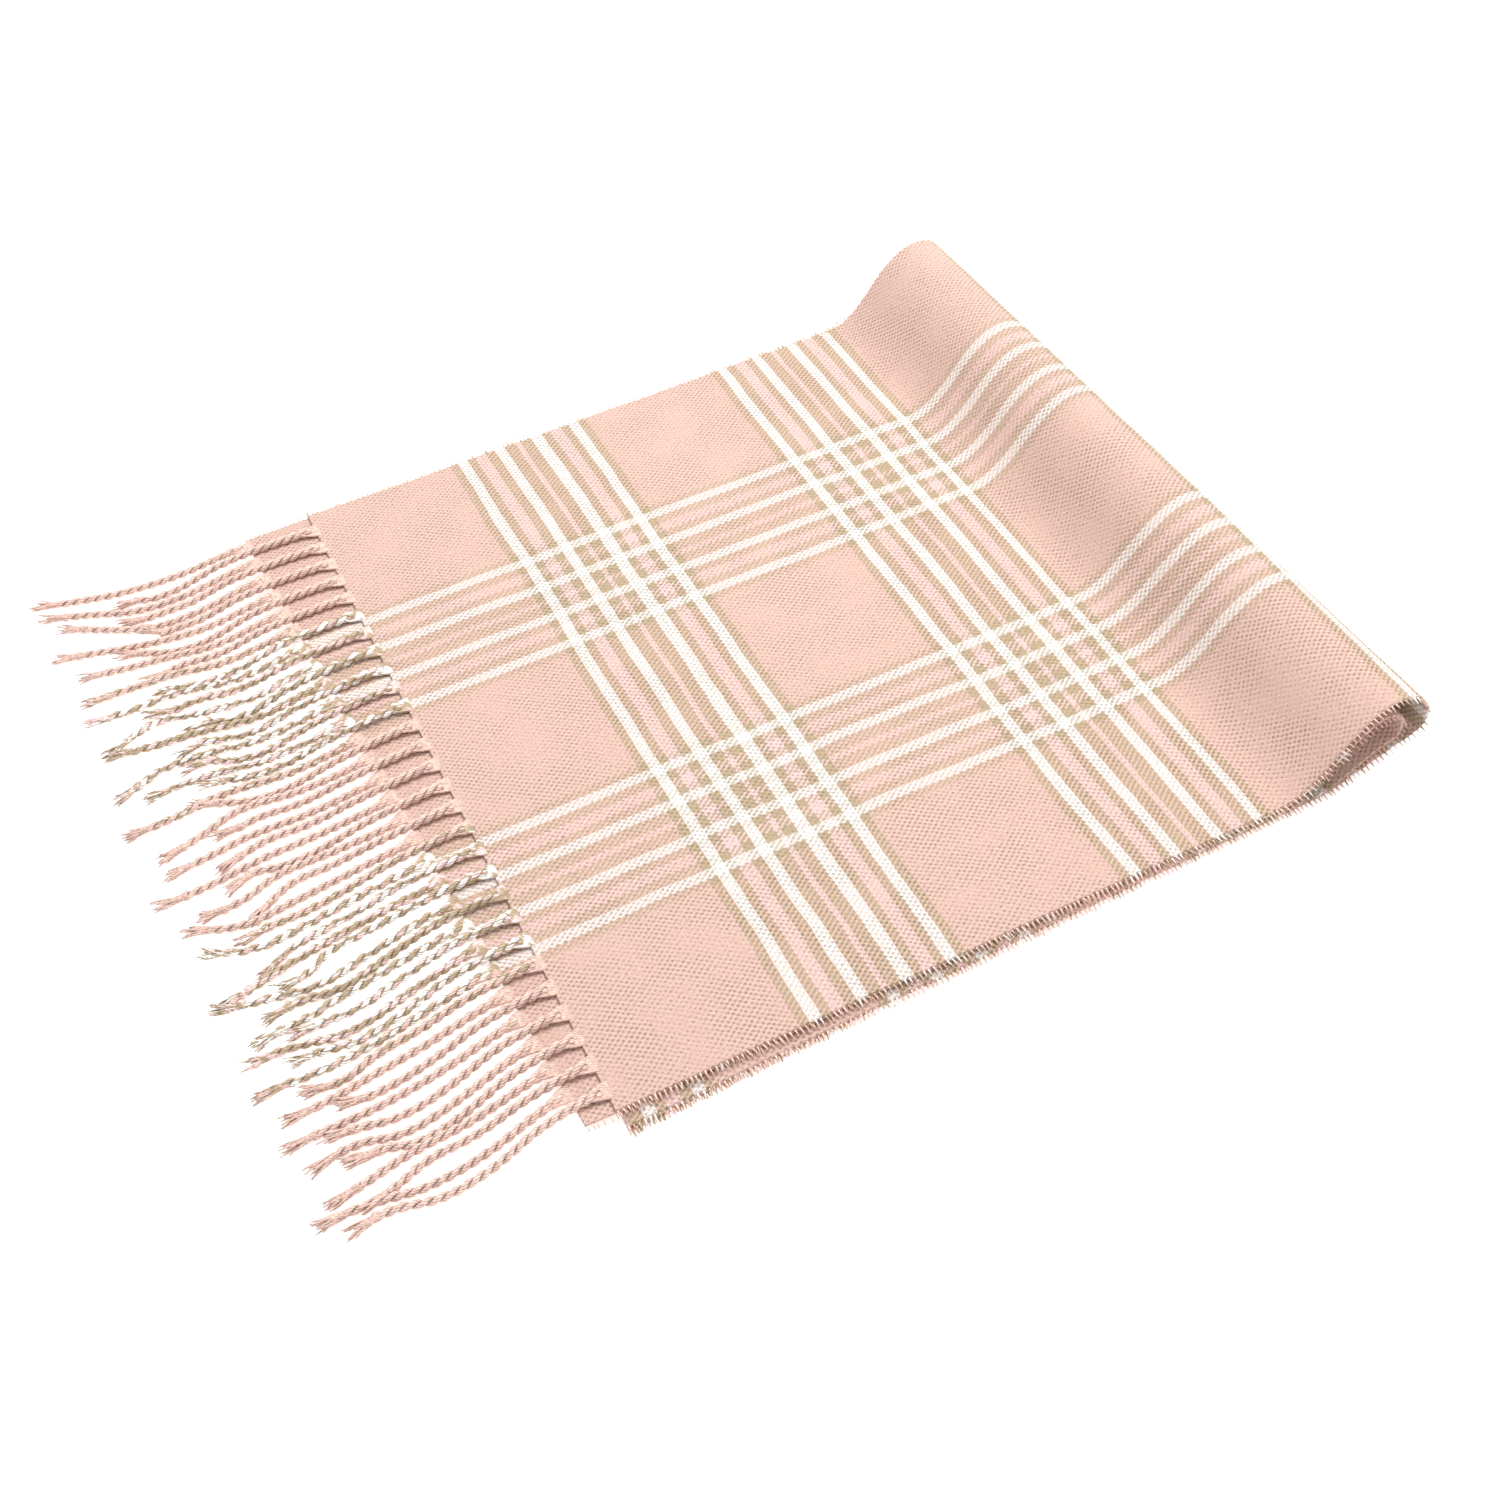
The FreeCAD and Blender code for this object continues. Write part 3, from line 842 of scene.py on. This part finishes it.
        # The last fringe edge lies where a weft group of the bottom leaf falls in its place at the near edge.
        left = low.points[-1].x
        groups = round((low.length + over.length + under.length) / (self.sett.weft_pitch * MM))
        group_place = (self.sett.weft_first + groups * self.sett.weft_pitch) * MM
        low_stop = group_place - (left - start) + self.bottom_group * MM
        end = low_stop + inner_under.length + inner_over.length - self.second_slant * MM
        leaf_ends = dict(skew_from=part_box("third_leaf")[0].x, skew_to=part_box("third_leaf")[1].x)
        low_ends = dict(skew_from=left, skew_to=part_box("bottom_leaf")[1].x)
        top = ClothRun("top_cloth", over, Hold.LIFTS, ("top_leaf", "upper_fold_outer"), (0.0, 0.0), seed=11)
        second = ClothRun("second_cloth", inner_over, Hold.LIFTS, ("second_leaf", "upper_fold_inner"),
                          (end, end), slant=self.second_slant * MM, backward=True, seed=12)
        third = ClothRun("third_cloth", inner_under, Hold.STAYS,
                         ("third_leaf", "left_fold_outer", "upper_fold_inner"), second.strip_stop(),
                         skew=(self.left_skew, 0.0), backward=True, seed=13, **leaf_ends)
        fourth = ClothRun("fourth_cloth", under, Hold.STAYS,
                          ("fourth_leaf", "left_fold_inner", "upper_fold_outer"), top.strip_stop(),
                          skew=(self.left_skew, 0.0), seed=14, **leaf_ends)
        near, far = third.strip_stop()
        lower = ClothRun("lower_cloth", low, Hold.RESTS, ("fifth_leaf", "lower_fold", "bottom_leaf"),
                         (near - low.length, far - low.length + 2 * top.fold_slant),
                         skew=(self.left_skew, self.right_skew), seed=15, **low_ends)
        return [top, second, third, fourth, lower]


# -------- the fringes

class Side(Enum):
    """Which cut end a fringe is on."""

    TOP = "top"
    SECOND = "second"


def spoke(points: list[Vector], i: int, angle: float) -> Vector:
    """The direction square to a line at one of its points, turned that far from the side."""
    ahead = (points[min(i + 1, len(points) - 1)] - points[max(i - 1, 0)]).normalized()
    aside = ahead.cross(Vector((0, 0, 1))).normalized()
    return aside * math.cos(angle) + aside.cross(ahead) * math.sin(angle)


@dataclass
class Tassel:
    """One tassel: the warp ends that draw together, the two plies they are twisted into, and a brush tip."""

    fringe: "Fringe"
    mesh: BMesh  # what its tubes of yarn are added to
    line: list[Vector]  # evenly spaced points from the cut edge to the tip
    source: float  # metres from the far selvedge to the middle of the warp that it takes
    chance: random.Random  # the fringe's own random numbers
    turn: float = 8.2  # mm of tassel for one turn of the two plies
    turn_shift: float = 900.0  # radians for a metre of cloth, so that neighbours don't turn in step
    ply_radius: float = 0.86  # mm
    ply_offset: float = 0.76
    ply_start: float = 1.2  # mm from the cut edge
    slim_start: float = 0.75  # how far out a ply begins, as a share
    slim_run: float = 4.0  # mm
    slim_radius: float = 0.4  # how much of a ply's radius follows that share
    root_bulk: float = 0.35  # how much plumper a tassel is at its root
    root_run: float = 9.0  # mm
    slack: float = 0.22  # how much a ply loosens before the brush
    slack_run: float = 5.0  # mm
    sides: int = 7
    gather: float = 6.0  # mm over which the warp ends draw together
    gather_ends: int = 9
    gather_share: float = 0.62  # an end's radius as a share of a ply's
    gather_profile: tuple[float, ...] = (0.8, 1.0, 1.0, 0.95, 0.9, 0.8, 0.0)
    gather_sides: int = 5
    gather_inset: float = 1.6  # mm that the ends reach into the cloth
    gather_height: float = 0.25  # mm above the cloth's middle
    gather_lead: Pair = (3.0, 1.2)  # mm of straight run, and what it gains to the sides
    gather_lift: float = 0.2  # mm that it rises there
    gather_scatter: Pair = (-0.6, 0.5)  # mm up or down where the ends join the tassel
    gather_apart: Pair = (1.5, 0.5)  # mm between the outer ones there, and where they stop
    gather_past: int = 3  # steps from there to where they stop
    gather_shift: float = 0.6  # mm of cloth that an end's yarns are drawn from beside it
    root_spread: float = 0.62  # how much of its pitch a gather covers at the cut edge
    brush: float = 11.0  # mm of loose yarn at the tip
    brush_join: float = 2.5  # mm that the plies run on into it
    brush_yarns: int = 11
    brush_radius: Pair = (0.45, 0.62)  # mm
    brush_profile: tuple[float, ...] = (0.7, 1.0, 1.0, 0.9, 0.75, 0.4)
    brush_sides: int = 4
    brush_ring: float = 0.75  # mm from the tassel's line to where its yarns begin
    brush_jitter: float = 0.3  # share of their even spacing that they stray round it
    brush_reach: Pair = (-2.5, 1.5)  # mm that a yarn is shorter or longer
    brush_open: Pair = (0.7, 1.9)  # mm that a yarn's tip stands out
    brush_flat: float = 0.55  # how much of that it keeps upward, since the brush lies on the table
    brush_sink: float = 0.35  # mm that every tip comes down
    brush_lean: float = 1.2  # mm that all of the tips may lean aside
    brush_curl: Triple = (0.35, 1.3, 0.37)  # mm, turns, and turns between neighbours
    brush_source: Pair = (-0.5, 0.4)  # pitches beside the tassel that a yarn's dye comes from
    table_gap: float = 0.5  # mm from the table to the middle of a yarn

    def tube(self, points: list[Vector], radii: list[float], sides: int, source: float,
             axis: list[Vector] | None = None) -> None:
        """Adds a closed tube of yarn along points, with its plies' map and the place its yarns come from.

        Args:
            points: the tube's middle line.
            radii: its radius at each point; a last radius of 0 closes it in a tip.
            sides: how many sides it has.
            source: metres from the far selvedge that its yarns come from.
            axis: the tassel's middle line, where the tube winds round it, point for point.
        """
        mesh = self.mesh
        uv = mesh.loops.layers.uv[PLY_MAP]
        warp, outward = (mesh.verts.layers.float[name] for name in (WARP_PLACE, OUTWARD))
        last = len(points) - 1
        made = bmesh.ops.create_grid(mesh, x_segments=last, y_segments=sides, size=0.5)["verts"]
        spots, gone = {}, [0.0]
        for a, b in zip(points, points[1:]):
            gone.append(gone[-1] + (b - a).length)
        for vert in made:
            ring = round((vert.co.x + 0.5) * last)
            share = vert.co.y + 0.5
            vert.co = points[ring] + spoke(points, ring, math.tau * share) * radii[ring]
            vert[warp] = source
            vert[outward] = (vert.co - axis[ring]).length if axis else OPEN_AIR
            spots[vert] = (gone[ring], share)
        for face in {f for v in made for f in v.link_faces}:
            for loop in face.loops:
                loop[uv].uv = spots[loop.vert]
        bmesh.ops.remove_doubles(mesh, verts=made, dist=0.004 * MM)

    def twist(self) -> None:
        """Winds two plies round the tassel's line."""
        step = self.fringe.step
        first = round(self.ply_start / step)
        last = len(self.line) - 1 - round((self.brush - self.brush_join) / step)
        for ply in (0, 1):
            points, radii = [], []
            for i in range(first, last + 1):
                angle = math.tau * i * step / self.turn + math.pi * ply + self.source * self.turn_shift
                grown = min(self.slim_start + (1 - self.slim_start) * (i - first) * step / self.slim_run, 1.0)
                loose = 1.0 + self.slack * max(0.0, 1 - (last - i) * step / self.slack_run)
                plump = 1.0 + self.root_bulk * math.exp(-i * step / self.root_run)
                points.append(self.line[i] + spoke(self.line, i, angle)
                              * self.ply_offset * grown * loose * plump * MM)
                radii.append(self.ply_radius * (1 - self.slim_radius + self.slim_radius * grown) * plump * MM)
            radii[0], radii[-1] = 0.0, 0.0
            place = self.source + (ply - 1) * self.fringe.pitch / 2 * MM
            self.tube(points, radii, self.sides, place, self.line[first:last + 1])

    def draw_in(self) -> None:
        """Adds the warp ends that leave the cut edge and draw together into the tassel."""
        fringe, joined = self.fringe, round(self.gather / self.fringe.step)
        lean = fringe.root_pull / fringe.pitch
        (straight, gain), (apart, closer) = self.gather_lead, self.gather_apart
        for n in range(self.gather_ends):
            share = (n + 0.5) / self.gather_ends - 0.5
            across = self.source + (share * self.root_spread - lean) * fringe.pitch * MM
            y = fringe.width / 2 - across / MM
            x = fringe.edge_x + (fringe.cut(y) + self.gather_inset) * MM
            start = Vector((x, STRIP_MIDDLE + y * MM, fringe.cloth_z))
            start.z += pile_rise(*start) + self.gather_height * MM
            scatter = self.chance.uniform(*self.gather_scatter)
            corners = [
                start,
                start + Vector((-(straight + gain * abs(share)), 0, self.gather_lift)) * MM,
                self.line[joined] + Vector((0, -share * apart, scatter)) * MM,
                self.line[joined + self.gather_past] + Vector((0, -share * closer, 0)) * MM,
            ]
            points = []
            for i in range(len(self.gather_profile)):
                t = i / (len(self.gather_profile) - 1)
                a, b, c = (corners[k].lerp(corners[k + 1], t) for k in range(3))
                points.append(a.lerp(b, t).lerp(b.lerp(c, t), t))
            radii = [self.ply_radius * self.gather_share * MM * k for k in self.gather_profile]
            self.tube(points, radii, self.gather_sides, across - self.gather_shift * MM)

    def fray(self) -> None:
        """Adds the loose yarns of the brush tip."""
        chance, last = self.chance, len(self.brush_profile) - 1
        begin = len(self.line) - 1 - round(self.brush / self.fringe.step)
        ahead = (self.line[-1] - self.line[begin]).normalized()
        aside = ahead.cross(Vector((0, 0, 1))).normalized()
        lean = chance.uniform(-self.brush_lean, self.brush_lean)
        curl_by, curl_turns, curl_step = self.brush_curl
        for n in range(self.brush_yarns):
            jitter = chance.uniform(-self.brush_jitter, self.brush_jitter)
            angle = math.tau * (n + jitter) / self.brush_yarns
            ring = (aside * math.cos(angle) + Vector((0, 0, math.sin(angle)))) * self.brush_ring * MM
            reach = (self.brush + chance.uniform(*self.brush_reach)) * MM
            open_by = chance.uniform(*self.brush_open)
            side = math.cos(angle) * open_by + lean
            low = math.sin(angle) * open_by * self.brush_flat - self.brush_sink
            points = []
            for i in range(last + 1):
                t = i / last
                curl = curl_by * math.sin(math.tau * (t * curl_turns + n * curl_step)) * t
                spot = self.line[begin] + ring + ahead * reach * t + aside * (side * t * t + curl) * MM
                spot.z = max(spot.z + low * t * t * MM, self.table_gap * MM)
                points.append(spot)
            radius = chance.uniform(*self.brush_radius) * MM
            source = self.source + chance.uniform(*self.brush_source) * self.fringe.pitch * MM
            self.tube(points, [radius * k for k in self.brush_profile], self.brush_sides, source)


@dataclass
class Fringe:
    """Twisted tassels along one cut end, each made of the cloth's own warp."""

    side: Side
    count: int = 28
    per_piece: int = 2
    cord_radius: float = 1.6  # mm
    length: float = 84.0
    length_spread: float = 4.0
    trimmed: float = 6.0  # mm that a tassel may be shorter by chance
    margin: float = 6.0  # from a selvedge to the first tassel
    lead: float = 8.0  # straight run out of the cloth
    drop_run: float = 26.0  # run over which a tassel comes down to the table
    fan: float = 9.0
    wave: float = 3.0
    wave_length: float = 75.0
    wave_turns: float = 1.5
    floor_gap: float = 0.1
    root_gap: float = 0.3
    root_pull: float = 1.6  # mm that the gather leans to the far side
    overhang: Pair = (10.0, 26.0)  # second leaf past the top one, near and far
    stray: float = 3.0  # mm that each tassel leaves the common field of lines
    tip_stray: float = 2.4
    hooks: tuple[float, ...] = (0.0, 0.0, 0.0, 0.0, 7.0, -6.0)  # mm aside that a few of the tips turn
    landing: float = 0.75  # how far along its drop a tassel meets the table
    bends: Pair = (0.3, 0.65)  # where along the rest it strays to one side and the other
    stray_shares: tuple[float, ...] = (0.4, 1.0, -1.0, -0.5)  # of its stray, from the landing to the tip
    step: float = 0.95  # mm between the points that a tassel is built on
    width: float = 301.0

    def __post_init__(self) -> None:
        """Reads the cut edge's place and the ride heights from the model."""
        self.edge_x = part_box("top_leaf")[0].x
        self.cloth_z = middle(f"{self.side.value}_leaf").z
        self.ride_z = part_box("second_leaf")[1].z + (0.1 + self.cord_radius) * MM
        self.pitch = (self.width - 2 * self.margin) / (self.count - 0.5)
        self.shift = 0.5 if self.side is Side.TOP else 0.0

    def over(self, y: float) -> float:
        """How far the second leaf reaches past the top one there, in mm."""
        return self.overhang[0] + (y / self.width + 0.5) * (self.overhang[1] - self.overhang[0])

    def cut(self, y: float) -> float:
        """Where the cut edge lies along X, in mm, for a place across in mm from the middle line."""
        return 0.0 if self.side is Side.TOP else -self.over(y)

    def route(self, index: int, chance: random.Random) -> list[Vector]:
        """The points that pull a tassel's line, from the cut edge to its tip.

        Args:
            index: the tassel's number from the far selvedge.
            chance: the fringe's own random numbers.

        Returns:
            Six points in metres.
        """
        y = self.width / 2 - self.margin - (index + self.shift) * self.pitch
        length = self.length + self.length_spread * math.sin(2.4 * index) - chance.uniform(0.0, self.trimmed)
        edge = self.cut(y + self.cord_radius) - self.root_gap
        top = self.side is Side.TOP
        lead = self.lead + (self.over(y) if top else 0.0)
        rest = (self.cord_radius + self.floor_gap) * MM
        start = self.ride_z if top else self.cloth_z
        tail = length - lead - self.drop_run
        aside = chance.uniform(-self.stray, self.stray)

        def along(out: float, height: float, off: float = 0.0) -> Vector:
            """The point that far out of the cut edge, in metres."""
            x = edge - out
            spread = -x / self.length
            lean = self.fan * (2 * y / self.width) * spread ** 2
            phase = math.tau * (self.wave_turns * y / self.width + x / self.wave_length)
            across = y + lean + min(spread, 1) * self.wave * math.sin(phase) + off
            place = Vector((self.edge_x + x * MM, STRIP_MIDDLE + across * MM, height))
            place.z += pile_rise(*place)
            return place

        landed, bent, back, tip = (share * aside for share in self.stray_shares)
        tip += chance.uniform(-self.tip_stray, self.tip_stray)
        tip += chance.choice(self.hooks)
        return [
            along(0, start, self.root_pull),
            along(lead, start, self.root_pull * 0.3),
            along(lead + self.drop_run * self.landing, rest, landed),
            along(lead + self.drop_run + tail * self.bends[0], rest, bent),
            along(lead + self.drop_run + tail * self.bends[1], rest, back),
            along(length, rest, tip),
        ]

    def measured_line(self, route: list[Vector]) -> list[Vector]:
        """Reads evenly spaced points from the route's smooth line.

        Args:
            route: the points that pull the line.

        Returns:
            Points one step apart, the first at the cut edge.
        """
        curve = bpy.data.curves.new("route", "CURVE")
        curve.dimensions = "3D"
        spline = curve.splines.new("NURBS")
        spline.points.add(len(route) - 1)
        for point, place in zip(spline.points, route):
            point.co = (*place, 1.0)
        spline.order_u, spline.resolution_u, spline.use_endpoint_u = 3, 16, True
        holder = bpy.data.objects.new("route", curve)
        data = bpy.data.meshes.new_from_object(holder)
        dense = [v.co.copy() for v in data.vertices]
        bpy.data.objects.remove(holder)
        bpy.data.curves.remove(curve)
        bpy.data.meshes.remove(data)
        even, left = [dense[0]], self.step * MM
        for a, b in zip(dense, dense[1:]):
            run = (b - a).length
            while run >= left > 0:
                a = a.lerp(b, left / run)
                even.append(a.copy())
                run = (b - a).length
                left = self.step * MM
            left -= run
        return even

    def build(self, finish: Material) -> list[Object]:
        """Builds the fringe, a pair of tassels to a piece.

        Args:
            finish: the tassels' finish.

        Returns:
            The pieces, from the far selvedge to the near one.
        """
        chance = random.Random(41 if self.side is Side.TOP else 43)
        made = []
        for first in range(0, self.count, self.per_piece):
            mesh = bmesh.new()
            mesh.loops.layers.uv.new(PLY_MAP)
            mesh.verts.layers.float.new(WARP_PLACE)
            mesh.verts.layers.float.new(OUTWARD)
            for index in range(first, first + self.per_piece):
                line = self.measured_line(self.route(index, chance))
                source = (self.margin + (index + self.shift) * self.pitch) * MM
                tassel = Tassel(self, mesh, line, source, chance)
                tassel.twist()
                tassel.draw_in()
                tassel.fray()
            bmesh.ops.holes_fill(mesh, edges=[e for e in mesh.edges if e.is_boundary], sides=8)
            bmesh.ops.recalc_face_normals(mesh, faces=mesh.faces)
            number = first // self.per_piece + 1
            piece = piece_from(f"{self.side.value}_tassel_pair_{number:02d}", mesh, finish)
            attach(piece, "top_pair")
            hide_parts(f"{self.side.value}_tassels_{number:02d}")
            made.append(piece)
        log.info("%s fringe: %d tassels in %d pieces", self.side.value, self.count, len(made))
        return made


# -------- the studio

@dataclass
class Studio:
    """A white table, soft overhead light and the camera."""

    table_size: float = 12.0  # m
    sky: float = 0.67  # strength of the even white surroundings
    key_power: float = 18.0  # W
    key_size: float = 0.7
    key_place: Triple = (0.42, 0.36, 1.18)
    fill_power: float = 2.8
    fill_size: float = 1.6
    fill_place: Triple = (-0.5, -1.1, 1.1)
    camera_place: Triple = (-0.1613, -0.4486, 0.5081)
    camera_target: Triple = (0.0065, -0.0446, 0.0063)
    camera_roll: float = -4.99  # degrees about the line of sight
    lens: float = 46.40  # mm on a 36 mm sensor

    def lay_table(self) -> None:
        """Adds the table top."""
        mesh = bmesh.new()
        bmesh.ops.create_grid(mesh, x_segments=1, y_segments=1, size=self.table_size / 2)
        piece_from("table_top", mesh, WhiteTable().make())

    def light(self, name: str, place: Triple, size: float, power: float) -> None:
        """Adds a square soft light that points at the middle of the table."""
        lamp = bpy.data.lights.new(name, "AREA")
        lamp.size, lamp.energy = size, power
        holder = bpy.data.objects.new(name, lamp)
        holder.location = place
        holder.rotation_euler = (-Vector(place)).to_track_quat("-Z", "Y").to_euler()
        bpy.context.scene.collection.objects.link(holder)

    def light_room(self) -> None:
        """Sets the even surroundings, the two soft lights and a plain tone curve, which keeps white clean."""
        world = bpy.data.worlds.new("room")
        world.use_nodes = True
        world.node_tree.nodes.clear()
        glow = add_node(world.node_tree, "Background", {"Color": (1.0, 1.0, 1.0, 1.0), "Strength": self.sky})
        add_node(world.node_tree, "OutputWorld", {"Surface": glow})
        bpy.context.scene.world = world
        bpy.context.scene.view_settings.view_transform = "Standard"
        self.light("key_light", self.key_place, self.key_size, self.key_power)
        self.light("fill_light", self.fill_place, self.fill_size, self.fill_power)

    def place_camera(self) -> None:
        """Adds the camera and turns it on."""
        data = bpy.data.cameras.new("camera")
        data.lens, data.sensor_width = self.lens, 36.0
        data.clip_start, data.clip_end = 0.01, 50.0
        camera = bpy.data.objects.new("camera", data)
        place, target = Vector(self.camera_place), Vector(self.camera_target)
        look = (target - place).to_track_quat("-Z", "Y").to_matrix()
        roll = Euler((0, 0, math.radians(self.camera_roll))).to_matrix()
        camera.location = place
        camera.rotation_euler = (look @ roll).to_euler()
        bpy.context.scene.collection.objects.link(camera)
        bpy.context.scene.camera = camera

    def build(self) -> None:
        """Builds the whole studio."""
        self.lay_table()
        self.light_room()
        self.place_camera()
        log.info("studio: table, two lights and the camera")


# -------- building it


def main() -> None:
    """Builds the studio, the five runs of cloth and the two fringes."""
    logging.basicConfig(level=logging.INFO, format="%(message)s")
    Studio().build()
    runs = FoldedStrip().runs()
    sett = Sett(strip_end=runs[1].strip_start[0] / MM)
    woven, cut, yarn = WovenTwill(sett).make(), SelvedgeEnds(sett).make(), TasselYarn(sett).make()
    fringes = {"top_cloth": Fringe(Side.TOP).build(yarn), "second_cloth": Fringe(Side.SECOND).build(yarn)}
    for run in runs:
        cloth, ends = run.build(woven, cut)


if __name__ == "__main__":
    main()
